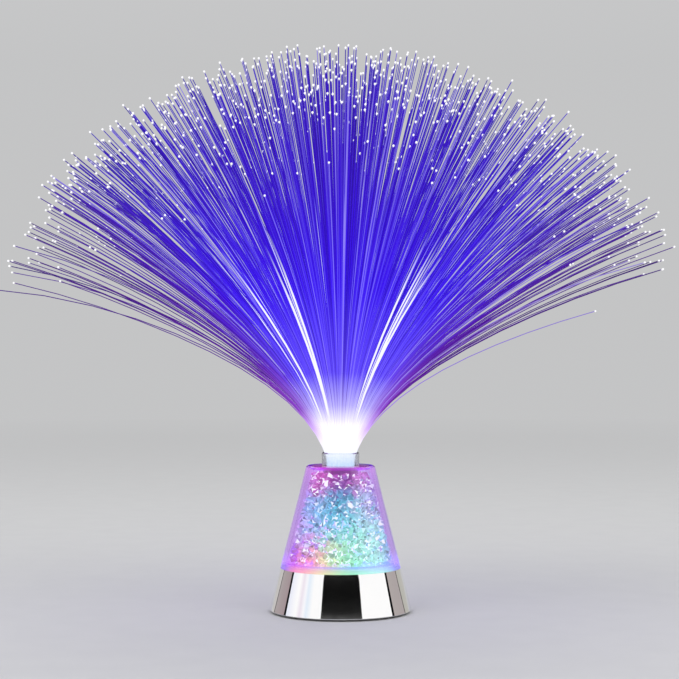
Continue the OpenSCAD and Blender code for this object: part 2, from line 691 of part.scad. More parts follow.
// A slice of the bundle with the strands that stand in it, from pair first to before pair last.
// shares are the parts of a strand's length at which it has a ring of corners
module strand_group(first, last, shares) {
    rings = len(shares) + 2;
    points = [for (i = [first:last - 1]) for (half = [0, 1]) each strand_points(i, half, shares)];
    faces = [for (n = [0:2 * (last - first) - 1]) each ring_faces(rings, 3, n * rings * 3)];
    g = group_of(first);
    // The size stays as it is. This joins the strands and the slice into one body
    resize([0, 0, 0]) {
        polyhedron(points, faces);
        translate([0, 0, slice_z]) difference() {
            cylinder(h = slice_t, r = slice_edge(last, g) - slice_gap / 2, $fn = 24);
            if (first > 0) translate([0, 0, -eps])
                cylinder(h = slice_t + 2 * eps, r = slice_edge(first, g - 1) + slice_gap / 2, $fn = 24);
        }
    }
}

module strands_crown() color([0.5, 0.4, 1]) strand_group(0, crown_pairs, [0.1, 0.3, 1]);
module strands_mid() color([0.4, 0.3, 1]) strand_group(crown_pairs, mid_pairs, [0.1, 0.3, 1]);
module strands_skirt() color([0.3, 0.2, 0.9]) strand_group(mid_pairs, strand_pairs, [0.08, 0.2, 0.45, 1]);

base_shell();
bottom_cover();
battery_door();
door_screw();
cover_screws();
rubber_feet();
battery_1();
battery_2();
battery_3();
front_contacts();
rear_contacts();
contact_springs();
switch_body();
switch_slider();
led_board();
board_screws();
fiber_led();
crystal_leds();
control_chip();
resistors();
wires();
light_deck();
crystal_cone();
cone_floor();
top_plate();
center_tube();
crystals();
bundle_ferrule();
bundle_collar();
fiber_core();
strands_crown();
strands_mid();
strands_skirt();
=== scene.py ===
# %% [markdown]
# # A fiber optic lamp, dressed for its portrait
# The lamp is a chrome battery base, a clear cone full of crystals and a bundle of optical fibers that fans
# out into a dome. A CAD model already gives every hard piece its true shape and place. This lesson loads
# it, builds the pieces that CAD leaves plain, and gives each surface a finish. All lengths are in metres,
# +Z is up, -Y is the front, and the origin is on the table under the middle of the base.

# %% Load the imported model
import math
from functools import reduce
import bpy
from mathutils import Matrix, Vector


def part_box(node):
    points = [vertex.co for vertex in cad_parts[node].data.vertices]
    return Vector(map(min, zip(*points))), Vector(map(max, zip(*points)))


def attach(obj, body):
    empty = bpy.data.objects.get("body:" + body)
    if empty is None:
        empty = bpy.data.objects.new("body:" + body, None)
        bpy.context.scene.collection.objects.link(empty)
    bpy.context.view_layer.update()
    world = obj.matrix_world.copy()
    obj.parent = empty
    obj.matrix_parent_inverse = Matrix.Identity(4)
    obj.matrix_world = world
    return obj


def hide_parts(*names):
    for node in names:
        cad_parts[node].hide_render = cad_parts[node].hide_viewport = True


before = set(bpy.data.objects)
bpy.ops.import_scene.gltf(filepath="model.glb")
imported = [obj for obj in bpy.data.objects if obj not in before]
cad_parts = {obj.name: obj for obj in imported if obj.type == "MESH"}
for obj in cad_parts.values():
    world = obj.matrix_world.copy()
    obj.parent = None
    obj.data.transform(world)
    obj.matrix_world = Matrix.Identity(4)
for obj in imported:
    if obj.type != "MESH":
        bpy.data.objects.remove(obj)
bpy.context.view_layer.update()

MM = 0.001

# %% [markdown]
# ## The camera
# The lamp stands at eye level: both ends of the chrome base curve downwards, and the dome is seen from
# straight ahead. A level camera just over a metre away with a short telephoto lens gives that. The nearer
# the camera, the deeper the base's lower edge would bow, so the distance follows from that curve and the
# lens from the size.

# %% Place the camera
CAMERA_AT = Vector((-0.0006, -1.040, 0.157))
LENS_MM = 95.4
SENSOR_MM = 36

camera = bpy.data.objects.new("portrait_camera", bpy.data.cameras.new("portrait_camera"))
bpy.context.scene.collection.objects.link(camera)
camera.location = CAMERA_AT
camera.rotation_euler = (math.pi / 2, 0, 0)
camera.data.lens = LENS_MM
camera.data.sensor_width = SENSOR_MM
camera.data.clip_start = 0.05
bpy.context.scene.camera = camera
bpy.context.scene.view_settings.view_transform = "Standard"
print("camera", round(CAMERA_AT.length, 3), "m away with a", LENS_MM, "mm lens")

# %% [markdown]
# ## A small helper for node trees
# Materials and Geometry Nodes are both trees of nodes. Building them by hand in Python takes three lines a
# node, so this helper adds a node, sets its fields and links or fills its sockets in one call.

# %% A helper that adds and links nodes
class Nodes:
    """Adds nodes to one tree. A socket that is given becomes a link, and anything else a value."""

    def __init__(self, tree):
        self.tree = tree

    def add(self, kind, inputs=None, **fields):
        node = self.tree.nodes.new(kind)
        for field, value in fields.items():
            setattr(node, field, value)
        for key, value in (inputs or {}).items():
            self.fill(node.inputs[key], value)
        return node

    def fill(self, socket, value):
        if isinstance(value, bpy.types.NodeSocket):
            self.tree.links.new(value, socket)
        else:
            socket.default_value = value

    def output(self, kind, shader):
        """Sends a shader to the material's Surface or Volume."""
        self.fill(self.tree.nodes["Material Output"].inputs[kind], shader.outputs[0])

    def math(self, operation, *values):
        return self.add("ShaderNodeMath", dict(enumerate(values)), operation=operation).outputs[0]

    def plus(self, *values):
        return reduce(lambda a, b: self.math("ADD", a, b), values)

    def times(self, *values):
        return reduce(lambda a, b: self.math("MULTIPLY", a, b), values)

    def minus(self, a, b):
        return self.math("SUBTRACT", a, b)

    def over(self, a, b):
        return self.math("DIVIDE", a, b)

    def power(self, a, b):
        return self.math("POWER", a, b)

    def bell(self, off):
        """1 where off is 0, falling smoothly to 0 on either side."""
        return self.math("EXPONENT", self.times(self.power(off, 2.0), -1.0))

    def scale_to(self, value, low, high, to_low=0.0, to_high=1.0):
        return self.add("ShaderNodeMapRange", {0: value, 1: low, 2: high, 3: to_low, 4: to_high}).outputs[0]

    def vector(self, operation, *values):
        node = self.add("ShaderNodeVectorMath", dict(enumerate(values)), operation=operation)
        return node.outputs["Value" if operation in ("DISTANCE", "LENGTH") else "Vector"]

    def scaled(self, vector, by):
        node = self.add("ShaderNodeVectorMath", {0: vector, "Scale": by}, operation="SCALE")
        return node.outputs["Vector"]

    def xyz(self, x, y, z):
        return self.add("ShaderNodeCombineXYZ", {"X": x, "Y": y, "Z": z}).outputs[0]

    def axis(self, vector, letter):
        return self.add("ShaderNodeSeparateXYZ", {0: vector}).outputs[letter]

    def place(self):
        """Where a point of the surface lies, in the piece's own frame."""
        return self.add("ShaderNodeTexCoord").outputs["Object"]

    def fact(self, name):
        """A number that Geometry Nodes stored on the mesh."""
        return self.add("ShaderNodeAttribute", attribute_name=name).outputs["Fac"]

    def mix(self, share, a, b):
        return self.add("ShaderNodeMix", {0: share, 6: a, 7: b}, data_type="RGBA").outputs[2]

    def ramp(self, value, stops):
        """A colour ramp. stops are (place, colour)."""
        node = self.add("ShaderNodeValToRGB", {0: value})
        points = node.color_ramp.elements
        points[0].position, points[0].color = stops[0][0], opaque(stops[0][1])
        points[1].position, points[1].color = stops[-1][0], opaque(stops[-1][1])
        for place, colour in stops[1:-1]:
            points.new(place).color = opaque(colour)
        return node.outputs[0]

    def noise(self, scale, detail=3.0, where=None):
        fields = {"Vector": where or self.place(), "Scale": scale, "Detail": detail}
        return self.add("ShaderNodeTexNoise", fields).outputs[0]


def opaque(colour):
    return (*colour, 1)


def grey(level):
    return (level, level, level)


# %% [markdown]
# ## The studio
# A lamp like this is usually shown in the dark. Here it stands on a plain pale floor in soft light, so its
# own glow has to come from its materials. The floor's colour runs into the backdrop's, which leaves no
# horizon, and the floor keeps the shadow. It is open from below, and light passes through it under the
# base, where no camera above the floor sees it, so that the underside can be seen and is lit.

# %% Backdrop and floor
PALE = 0.56
OVERHEAD = 0.9
BACKDROP_WHITE = (0.985, 0.99, 1.0, 1)
world = bpy.data.worlds.new("pale_backdrop")
bpy.context.scene.world = world
world.use_nodes = True
sky = Nodes(world.node_tree)
height = sky.axis(sky.add("ShaderNodeTexCoord").outputs["Generated"], "Z")
backdrop = world.node_tree.nodes["Background"]
sky.fill(backdrop.inputs["Color"], BACKDROP_WHITE)
sky.fill(backdrop.inputs["Strength"], sky.scale_to(height, 0.15, 1.0, PALE, OVERHEAD))
print("backdrop at", PALE, "near the horizon and", OVERHEAD, "overhead")


# %% Helpers for materials and plain meshes
def material(name):
    """A new material, a helper for its tree, and its main shader."""
    made = bpy.data.materials.new(name)
    made.use_nodes = True
    return made, Nodes(made.node_tree), made.node_tree.nodes["Principled BSDF"]


def mesh_object(name, vertices, faces):
    """A new object in the scene, from a list of points and a list of faces."""
    mesh = bpy.data.meshes.new(name)
    mesh.from_pydata(vertices, [], faces)
    made = bpy.data.objects.new(name, mesh)
    bpy.context.scene.collection.objects.link(made)
    return made


# %% Floor
FLOOR_REACH = 30
FADE_FROM = 0.7
FADE_TO = 2.6
OPENING = 38.6 * MM

floor_paint, tree, shader = material("floor_paint")
grain = tree.noise(40, 4)
tree.fill(shader.inputs["Base Color"], tree.mix(grain, (0.60, 0.60, 0.605, 1), (0.64, 0.64, 0.64, 1)))
shader.inputs["Roughness"].default_value = 0.85
shader.inputs["Specular IOR Level"].default_value = 0.1
distance = tree.vector("LENGTH", tree.place())
haze = tree.add("ShaderNodeEmission", {0: BACKDROP_WHITE, 1: PALE})
faded = tree.add("ShaderNodeMixShader", {0: tree.scale_to(distance, FADE_FROM, FADE_TO),
    1: shader.outputs[0], 2: haze.outputs[0]})
from_below = tree.add("ShaderNodeNewGeometry").outputs["Backfacing"]
in_camera = tree.add("ShaderNodeLightPath").outputs["Is Camera Ray"]
under_base = tree.math("LESS_THAN", tree.plus(distance, in_camera), OPENING)
opened = tree.add("ShaderNodeMixShader", {0: tree.math("MAXIMUM", from_below, under_base),
    1: faded.outputs[0], 2: tree.add("ShaderNodeBsdfTransparent").outputs[0]})
tree.output("Surface", opened)
corners = [(x * FLOOR_REACH, y * FLOOR_REACH, 0) for x, y in ((-1, -1), (1, -1), (1, 1), (-1, 1))]
studio_floor = mesh_object("studio_floor", corners, [(0, 1, 2, 3)])
studio_floor.data.materials.append(floor_paint)
print("floor of", 2 * FLOOR_REACH, "m, fading into the backdrop from", FADE_FROM, "m on")

# %% [markdown]
# Two soft boxes stand high in front on either side and a third high behind, at a level at which a colour
# comes out about as it is written.

# %% Soft boxes
LAMP_MIDDLE = Vector((0, 0, 0.12))
SOFT_BOX_AWAY = 1.6
SOFT_BOX_SIZE = 0.8


def soft_box(name, azimuth, elevation, watts):
    """A square light that points at the lamp. azimuth counts from the front, anticlockwise from above."""
    a, e = math.radians(azimuth), math.radians(elevation)
    back = Vector((math.sin(a) * math.cos(e), -math.cos(a) * math.cos(e), math.sin(e)))
    light = bpy.data.lights.new(name, "AREA")
    light.size = SOFT_BOX_SIZE
    light.energy = watts
    box = bpy.data.objects.new(name, light)
    bpy.context.scene.collection.objects.link(box)
    box.location = LAMP_MIDDLE + back * SOFT_BOX_AWAY
    box.rotation_euler = (-back).to_track_quat("-Z", "Y").to_euler()
    box.visible_camera = False


soft_box("soft_box_left", -48, 50, 4.5)
soft_box("soft_box_right", 52, 46, 3.5)
soft_box("soft_box_back", 170, 60, 3.0)
print("soft boxes", SOFT_BOX_AWAY, "m from the lamp")

# %% [markdown]
# Chrome has no colour of its own: it shows the room. A product photographer therefore builds a room for it
# from cards. A black card in front gives the dark stripe and white ones beside it the bright panels.
# Further round, mauve and pearl ones with thin black lines between them give the bands near the outline.
# The front card's foot is a little grey and its top corners are round, as in the stripe, and it is bowed,
# because a cone throws the middle of its reflection higher than the sides. These cards are part of the
# studio and only show in reflections.

# %% A card, and the paper it is made of
CARD_STEPS = 48
CARD_AWAY = 2.0
BOW_REACH = 34  # degrees from the front at which a bowed card has come down by the whole of its bow


def card_mesh(name, azimuths, heights, away, corner, bow):
    """An upright curved strip. Its UV runs from 0 to 1 across it and up it."""
    left, right = azimuths
    low, high = heights
    corner_turn, corner_drop = corner
    points, part_up = [], []
    for k in range(CARD_STEPS + 1):
        turn = left + (right - left) * k / CARD_STEPS
        a = math.radians(turn)
        into = 1 - min(turn - left, right - turn) / corner_turn if corner_turn else 0
        drop = corner_drop * (1 - math.sqrt(1 - min(1, max(0, into)) ** 2))
        for z in (low, high - drop):
            points.append((away * math.sin(a), -away * math.cos(a), z - bow * (turn / BOW_REACH) ** 2))
            part_up.append((z - low) / (high - low))
    faces = [(2 * k, 2 * k + 1, 2 * k + 3, 2 * k + 2) for k in range(CARD_STEPS)]
    made = mesh_object(name, points, faces)
    where = made.data.uv_layers.new(name="across")
    for loop in made.data.loops:
        where.data[loop.index].uv = ((loop.vertex_index // 2) / CARD_STEPS, part_up[loop.vertex_index])
    return made


def card_paper(name, across, up):
    """A glowing paper. across is stops of colour from left to right, and up stops of brightness."""
    paper, tree, shader = material(name)
    where = tree.add("ShaderNodeTexCoord").outputs["UV"]
    level = tree.ramp(tree.axis(where, "Y"), [(place, grey(value)) for place, value in up])
    glow = tree.vector("MULTIPLY", tree.ramp(tree.axis(where, "X"), across), level)
    tree.output("Surface", tree.add("ShaderNodeEmission", {0: glow, 1: 1.0}))
    paper.node_tree.nodes.remove(shader)
    return paper


def card(name, azimuths, heights, across, up=((0, 1.0), (1, 1.0)), away=CARD_AWAY, corner=(0.0, 0.0),
        bow=0.0):
    """Puts up a card between two azimuths. corner is how far its top corners' rounding reaches, in degrees
    and metres. A single colour for across paints the whole card."""
    made = card_mesh(name, azimuths, heights, away, corner, bow)
    stops = across if isinstance(across[0], tuple) else [(0, across), (1, across)]
    made.data.materials.append(card_paper(name, stops, up))
    for ray in ("camera", "diffuse", "transmission", "shadow", "volume_scatter"):
        setattr(made, "visible_" + ray, False)


# %% Put up the cards
BLACK = (0.004, 0.004, 0.005)
WHITE = (1.15, 1.15, 1.15)
FOOT = -0.1
TOP = 1.9
FRONT = (-32.5, 35.5)
LEFT_END = -99
RIGHT_END = 92
STRIPE_BOW = 0.049

stripe = ((0, 0.14), (0.895, 0.11), (0.905, 0.04), (0.918, 0.012), (0.94, 0.003), (1, 0.002))
card("card_front", FRONT, (FOOT, 0.83), (1, 1, 1), up=stripe, corner=(6, 0.03), bow=STRIPE_BOW)
card("card_front_upper", FRONT, (0.85, 2.6), BLACK, bow=STRIPE_BOW)
card("card_front_behind", FRONT, (0.6, 0.95), WHITE, away=CARD_AWAY + 0.1)
pearly = [(0, (0.95, 0.97, 1.1)), (0.3, WHITE), (0.42, (0.98, 0.90, 1.0)), (0.52, (1.1, 1.1, 1.15)),
    (0.6, (0.90, 1.0, 1.12)), (0.75, WHITE), (1, WHITE)]
card("card_left", (LEFT_END, FRONT[0]), (FOOT, TOP), pearly)
card("card_right", (FRONT[1], RIGHT_END), (FOOT, TOP), WHITE)
for side, start, way, mauve, pearl in (("left", LEFT_END, -1, (0.43, 0.34, 0.36), (0.66, 0.63, 0.62)),
        ("right", RIGHT_END, 1, (0.50, 0.45, 0.44), (0.54, 0.53, 0.48))):
    bands = (("edge", 0, 5, BLACK, BLACK), ("mauve", 5, 34, mauve, (0.47, 0.42, 0.42)),
        ("line", 34, 36, BLACK, BLACK), ("pearl", 36, 62, pearl, (0.56, 0.55, 0.52)))
    for band, near, far, first, last in bands:
        ends = sorted((start + way * near, start + way * far))
        left, right = (first, last) if way > 0 else (last, first)
        card(f"card_{band}_{side}", ends, (FOOT, TOP), [(0, left), (1, right)])
card("card_back", (166, 194), (FOOT, TOP), BLACK)
print("cards", CARD_AWAY, "m round the lamp for its chrome")

# %% [markdown]
# ## Finishes for the pieces that CAD made
# Moulded, plated and printed surfaces are never one flat colour. Each of these finishes starts from the
# same recipe: slow noise shifts the colour, finer noise breaks the gloss, and a third layer raises a faint
# relief. What sets plastic, rubber and steel apart are the numbers.

# %% The shared recipe
def uneven(tree, shader, roughness, scale, relief=0.02 * MM):
    """Breaks a surface's gloss and gives it a faint relief. scale is in waves per metre."""
    low, high = roughness
    tree.fill(shader.inputs["Roughness"], tree.scale_to(tree.noise(scale * 6), 0.3, 0.7, low, high))
    bumps = tree.add("ShaderNodeBump", {"Height": tree.noise(scale * 14, 2), "Distance": relief})
    tree.fill(shader.inputs["Normal"], bumps.outputs[0])


def finish(name, dark, light, roughness, scale, relief=0.02 * MM, metallic=0.0, ior=1.5):
    """A material whose colour varies too, between a dark and a light one."""
    made, tree, shader = material(name)
    tree.fill(shader.inputs["Base Color"], tree.mix(tree.noise(scale), opaque(dark), opaque(light)))
    uneven(tree, shader, roughness, scale, relief)
    shader.inputs["Metallic"].default_value = metallic
    shader.inputs["IOR"].default_value = ior
    return made, tree, shader


def dress(paint, *nodes):
    """Gives CAD nodes a finish."""
    for node in nodes:
        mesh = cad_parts[node].data
        mesh.materials.clear()
        mesh.materials.append(paint)


# %% Moulded, plated and printed pieces
FINISHES = (  # name, darkest and lightest colour, lowest and highest roughness, what else differs, pieces
    ("black_plastic", (0.030, 0.030, 0.033), (0.045, 0.045, 0.048), (0.38, 0.55),
        {"scale": 90, "relief": 0.06 * MM}, ("bottom_cover", "battery_door")),
    ("slider_plastic", (0.07, 0.07, 0.075), (0.10, 0.10, 0.105), (0.25, 0.4),
        {"scale": 300}, ("switch_slider",)),
    ("ferrule_black", (0.010, 0.010, 0.012), (0.018, 0.018, 0.02), (0.3, 0.45),
        {"scale": 200}, ("bundle_ferrule",)),
    ("foot_rubber", (0.008, 0.008, 0.008), (0.016, 0.015, 0.015), (0.75, 0.95),
        {"scale": 500, "relief": 0.05 * MM, "ior": 1.52}, ("rubber_feet",)),
    ("screw_steel", (0.52, 0.53, 0.55), (0.66, 0.66, 0.66), (0.22, 0.38),
        {"scale": 400, "metallic": 1.0}, ("door_screw", "cover_screws", "board_screws")),
    ("contact_steel", (0.60, 0.59, 0.56), (0.76, 0.75, 0.72), (0.18, 0.32),
        {"scale": 500, "metallic": 1.0},
        ("front_contacts", "rear_contacts", "contact_springs", "switch_body")),
    ("chip_epoxy", (0.010, 0.010, 0.010), (0.02, 0.02, 0.02), (0.55, 0.7),
        {"scale": 900}, ("control_chip",)),
    ("resistor_glaze", (0.05, 0.04, 0.03), (0.09, 0.07, 0.05), (0.35, 0.5),
        {"scale": 900}, ("resistors",)),
    ("deck_white", (0.84, 0.84, 0.85), (0.90, 0.90, 0.90), (0.2, 0.35),
        {"scale": 150}, ("light_deck",)),
)
for name, dark, light, roughness, differs, pieces in FINISHES:
    dress(finish(name, dark, light, roughness, **differs)[0], *pieces)
print("plain finishes:", len(FINISHES))

# %% [markdown]
# ### Chrome
# The base is moulded plastic with a thin mirror-bright plating. Its reflections wander a little, because
# the plastic below is never perfectly even, and a cloth has left faint hairlines. Both are kept very weak:
# any more and the straight edges of the cards would break up.

# %% Chrome plating
chrome, tree, shader = material("chrome_plating")
plating = tree.mix(tree.noise(60), (0.82, 0.82, 0.83, 1), (0.88, 0.87, 0.86, 1))
tree.fill(shader.inputs["Base Color"], plating)
shader.inputs["Metallic"].default_value = 1.0
hairlines = tree.noise(9000, 2, tree.vector("MULTIPLY", tree.place(), (1.0, 1.0, 0.02)))
tree.fill(shader.inputs["Roughness"], tree.scale_to(hairlines, 0.35, 0.75, 0.015, 0.06))
waves = tree.add("ShaderNodeBump", {"Height": tree.noise(55, 2), "Distance": 0.03 * MM, "Strength": 0.5})
tree.fill(shader.inputs["Normal"], waves.outputs[0])
dress(chrome, "base_shell")
print("chrome on the base")

# %% [markdown]
# ### Batteries, board and wires
# The cells wear a shrunk plastic sleeve with a contrasting band and bare steel ends, and no lettering. The
# circuit board has green lacquer, through which its copper tracks show a little lighter, and tinned pads.

# %% Battery sleeves
BARE_END = 1.3 * MM
BAND_MIDDLE = 10 * MM
BAND_HALF = 5 * MM

sleeve, tree, shader = material("cell_jacket")
uneven(tree, shader, (0.18, 0.3), 200)
along = tree.axis(tree.place(), "Y")
cell_low, cell_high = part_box("battery_1")
off_middle = tree.math("ABSOLUTE", tree.minus(along, (cell_low.y + cell_high.y) / 2))
bare = tree.math("GREATER_THAN", off_middle, (cell_high.y - cell_low.y) / 2 - BARE_END)
band = tree.math("COMPARE", along, cell_low.y + BAND_MIDDLE, BAND_HALF)
banded = tree.mix(band, (0.03, 0.13, 0.065, 1), (0.62, 0.42, 0.10, 1))
tree.fill(shader.inputs["Base Color"], tree.mix(bare, banded, (0.70, 0.70, 0.68, 1)))
tree.fill(shader.inputs["Metallic"], bare)
dress(sleeve, "battery_1", "battery_2", "battery_3")
print("sleeves on three cells")

# %% Circuit board
PAD_SIZE = 0.16

board, tree, shader = material("board_lacquer")
uneven(tree, shader, (0.22, 0.34), 250)
place = tree.place()
tracks = tree.add("ShaderNodeTexBrick", {"Vector": place, "Scale": 160.0, "Mortar Size": 0.05,
    "Brick Width": 0.9, "Row Height": 0.42})
lacquered = tree.mix(tracks.outputs["Fac"], (0.02, 0.16, 0.06, 1), (0.05, 0.30, 0.12, 1))
to_pad = tree.add("ShaderNodeTexVoronoi", {"Vector": place, "Scale": 260.0}).outputs["Distance"]
pads = tree.math("LESS_THAN", to_pad, PAD_SIZE)
tree.fill(shader.inputs["Base Color"], tree.mix(pads, lacquered, (0.72, 0.70, 0.62, 1)))
tree.fill(shader.inputs["Metallic"], pads)
dress(board, "led_board")
print("lacquer, tracks and pads on the board")

# %% Wires
BLACK_WIRES_FROM = -10 * MM  # those nearer the front are black, the others red

insulation, tree, shader = material("wire_insulation")
uneven(tree, shader, (0.25, 0.4), 300)
in_front = tree.math("LESS_THAN", tree.axis(tree.place(), "Y"), BLACK_WIRES_FROM)
coloured = tree.mix(in_front, (0.62, 0.03, 0.02, 1), (0.015, 0.015, 0.015, 1))
tree.fill(shader.inputs["Base Color"], coloured)
dress(insulation, "wires")
print("insulation on the wires")

# %% [markdown]
# ## Coloured light
# Six lights in a ring under the crystals each shine in their own colour, and the clear pieces carry that
# light upwards. In the cone it therefore changes with place: warm near the floor in front, turquoise in
# the middle and violet at the top. A few soft spheres of colour describe that field, and every lit piece
# reads it at its own place, so that neighbouring pieces agree from any side.

# %% The field of coloured light
FIELD = (  # azimuth in degrees from the front, height, distance from the axis and reach in mm, colour
    (-43, 30, 28, 10, (1.00, 0.20, 0.45)),
    (-17, 32, 29, 10, (1.00, 0.86, 0.34)),
    (6, 34, 28, 11, (0.18, 1.00, 0.42)),
    (36, 36, 26, 15, (0.45, 1.00, 0.86)),
    (-9, 45, 25, 8, (0.50, 1.00, 0.80)),
    (1, 57, 22, 12, (0.00, 0.60, 0.72)),
    (-38, 53, 22, 11, (0.20, 0.54, 0.95)),
    (-62, 43, 27, 9, (0.75, 0.42, 0.95)),
    (40, 58, 21, 10, (0.56, 0.82, 0.92)),
    (66, 66, 21, 10, (0.36, 0.18, 0.80)),
    (2, 71, 18, 7, (0.04, 0.16, 0.44)),
    (0, 79, 15, 6, (0.26, 0.05, 0.36)),
    (-36, 80, 18, 9, (0.72, 0.08, 0.56)),
    (36, 80, 18, 9, (0.60, 0.20, 0.60)),
    (-84, 26, 36, 12, (0.14, 0.01, 0.80)),
    (84, 26, 36, 12, (0.14, 0.01, 0.80)),
    (125, 36, 25, 17, (0.12, 0.55, 1.00)),
    (180, 34, 26, 15, (1.00, 0.30, 0.70)),
    (-125, 36, 25, 17, (0.60, 0.18, 1.00)),
    (150, 60, 20, 16, (0.20, 0.80, 0.85)),
    (-150, 60, 20, 16, (0.50, 0.35, 1.00)),
    (0, 86, 8, 15, (0.58, 0.05, 0.46)),
)


def light_field(tree, place):
    """The colour of the light at a place, as a mean of the spheres, each weighted by how near it is."""
    total, weights = (0.0, 0.0, 0.0), 0.001
    for azimuth, height, radius, reach, colour in FIELD:
        a = math.radians(azimuth)
        centre = (radius * MM * math.sin(a), -radius * MM * math.cos(a), height * MM)
        weight = tree.bell(tree.over(tree.vector("DISTANCE", place, centre), reach * MM))
        total = tree.vector("ADD", tree.scaled(colour, weight), total)
        weights = tree.plus(weight, weights)
    return tree.scaled(total, tree.over(1.0, weights))


print("light field of", len(FIELD), "spheres")

# %% Lights, lit from inside
resin, tree, shader = finish("led_resin", (0.75, 0.75, 0.78), (0.85, 0.85, 0.88), (0.08, 0.15), scale=300)
tree.fill(shader.inputs["Emission Color"], light_field(tree, tree.place()))
shader.inputs["Emission Strength"].default_value = 0.9
dress(resin, "crystal_leds")

white_resin, tree, shader = finish("fiber_led_resin", (0.80, 0.80, 0.86), (0.88, 0.88, 0.92), (0.08, 0.15),
    scale=300)
cool_white = tree.mix(tree.noise(500), (0.70, 0.70, 1.0, 1), (0.95, 0.95, 1.0, 1))
tree.fill(shader.inputs["Emission Color"], cool_white)
shader.inputs["Emission Strength"].default_value = 1.0
dress(white_resin, "fiber_led")
print("lights lit")

# %% [markdown]
# ### Clear acrylic
# The cone is a thick clear moulding. Where a ray passes a long way through it, near its outline, it takes
# a deep violet tint, so the tint is an absorption inside the wall and not a paint on it; a violet glow
# inside the wall, painted light, adds more the longer the path. The wall also glows where the lights feed
# into it: just under its top, and round its foot, where it is glued down and no longer quite clear, and
# where its base colour is painted in the lights' colour.

# %% Acrylic of the cone, its floor, its top and the tube
SEAM_FROM = 2 * MM
SEAM_TO = 5 * MM
cone_low, cone_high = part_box("crystal_cone")


def acrylic(name, foot, middle, head, density, inner_glow):
    """Clear acrylic. foot, middle and head say how strongly its faces glow at those heights of the cone,
    and density and inner_glow, per metre, how strongly its inside tints and adds a painted violet glow to
    what passes through."""
    made, tree, shader = material(name)
    place = tree.place()
    z = tree.axis(place, "Z")
    # The foot is glued and less clear, and its base colour there is painted in the lights' colour: painted
    # light
    seam = tree.scale_to(z, cone_low.z + SEAM_FROM, cone_low.z + SEAM_TO, 0.65, 0.0)
    field = light_field(tree, place)
    clear = tree.mix(tree.noise(30), (0.94, 0.90, 1.0, 1), (1.0, 0.98, 1.0, 1))
    tree.fill(shader.inputs["Base Color"], tree.mix(seam, clear, field))
    tree.fill(shader.inputs["Roughness"], tree.scale_to(tree.noise(220, 2), 0.3, 0.8, 0.01, 0.05))
    tree.fill(shader.inputs["Transmission Weight"], tree.minus(1.0, seam))
    shader.inputs["IOR"].default_value = 1.49
    levels = ((0, foot), (0.07, foot * 0.8), (0.2, middle), (0.82, middle), (1, head))
    level = tree.ramp(tree.scale_to(z, cone_low.z, cone_high.z), [(part, grey(v)) for part, v in levels])
    tree.fill(shader.inputs["Emission Color"], field)
    tree.fill(shader.inputs["Emission Strength"], level)
    tint = tree.add("ShaderNodeVolumeAbsorption")
    tint.inputs["Color"].default_value = (0.57, 0.12, 1.0, 1)
    tint.inputs["Density"].default_value = density
    # A violet glow inside the wall: painted light, stronger the longer the path through it
    lit = tree.add("ShaderNodeEmission")
    lit.inputs["Color"].default_value = (0.47, 0.07, 0.66, 1)
    lit.inputs["Strength"].default_value = inner_glow
    inside = tree.add("ShaderNodeAddShader", {0: tint.outputs[0], 1: lit.outputs[0]})
    tree.output("Volume", inside)
    return made


dress(acrylic("cone_acrylic", 0.28, 0.03, 0.10, 105, 22), "crystal_cone")
dress(acrylic("floor_acrylic", 0.1, 0.1, 0.1, 150, 6), "cone_floor")
dress(acrylic("top_acrylic", 0.1, 0.1, 0.16, 80, 5), "top_plate")
dress(acrylic("tube_acrylic", 0.35, 0.25, 0.02, 60, 0), "center_tube")
print("acrylic on four pieces")

# %% Clear sleeve
collar_clear, tree, shader = material("collar_clear")
cloudy = tree.mix(tree.noise(200), (0.74, 0.76, 0.82, 1), (0.84, 0.85, 0.90, 1))
tree.fill(shader.inputs["Base Color"], cloudy)
tree.fill(shader.inputs["Roughness"], tree.scale_to(tree.noise(700, 2), 0.3, 0.8, 0.12, 0.3))
shader.inputs["Transmission Weight"].default_value = 1.0
shader.inputs["IOR"].default_value = 1.46
dress(collar_clear, "bundle_collar")
print("clear sleeve on the bundle")

# %% [markdown]
# ## Crystals
# The cone holds hundreds of clear faceted chips, 2 to 5 mm across, tumbled in at random. CAD has rows of
# larger stones in the same space. Geometry Nodes scatter the chips evenly on three nested cones, so that
# they fill the room between the tube and the wall without a hole, turn each one at random, and store a
# number for each chip and for each facet. The finish uses those numbers to paint each facet lighter or
# darker, and a few white as glints: painted shade and painted highlights in place of the light each facet
# would catch.

# %% Helpers that turn a tree into a plain mesh
def grown(name, build, sizes, paint):
    """Runs a Geometry Nodes tree on an empty object and returns the result as a plain mesh object."""
    tree = bpy.data.node_groups.new(name, "GeometryNodeTree")
    tree.interface.new_socket(name="Geometry", in_out="OUTPUT", socket_type="NodeSocketGeometry")
    kinds = {float: "NodeSocketFloat", int: "NodeSocketInt"}
    for label, value in sizes.items():
        tree.interface.new_socket(name=label, in_out="INPUT", socket_type=kinds[type(value)])
    nodes = Nodes(tree)
    given = nodes.add("NodeGroupInput").outputs
    whole = nodes.add("GeometryNodeRealizeInstances", {0: build(nodes, given)})
    painted = nodes.add("GeometryNodeSetMaterial", {"Geometry": whole.outputs[0], "Material": paint})
    nodes.add("NodeGroupOutput", {0: painted.outputs[0]})
    seed = bpy.data.objects.new(name + "_seed", bpy.data.meshes.new(name + "_seed"))
    bpy.context.scene.collection.objects.link(seed)
    grow = seed.modifiers.new("grow", "NODES")
    grow.node_group = tree
    for item in tree.interface.items_tree:
        if item.in_out == "INPUT":
            grow[item.identifier] = sizes[item.name]
    graph = bpy.context.evaluated_depsgraph_get()
    mesh = bpy.data.meshes.new_from_object(seed.evaluated_get(graph))
    mesh.name = name
    bpy.data.objects.remove(seed)
    made = bpy.data.objects.new(name, mesh)
    bpy.context.scene.collection.objects.link(made)
    print(name, len(mesh.polygons), "faces")
    return made


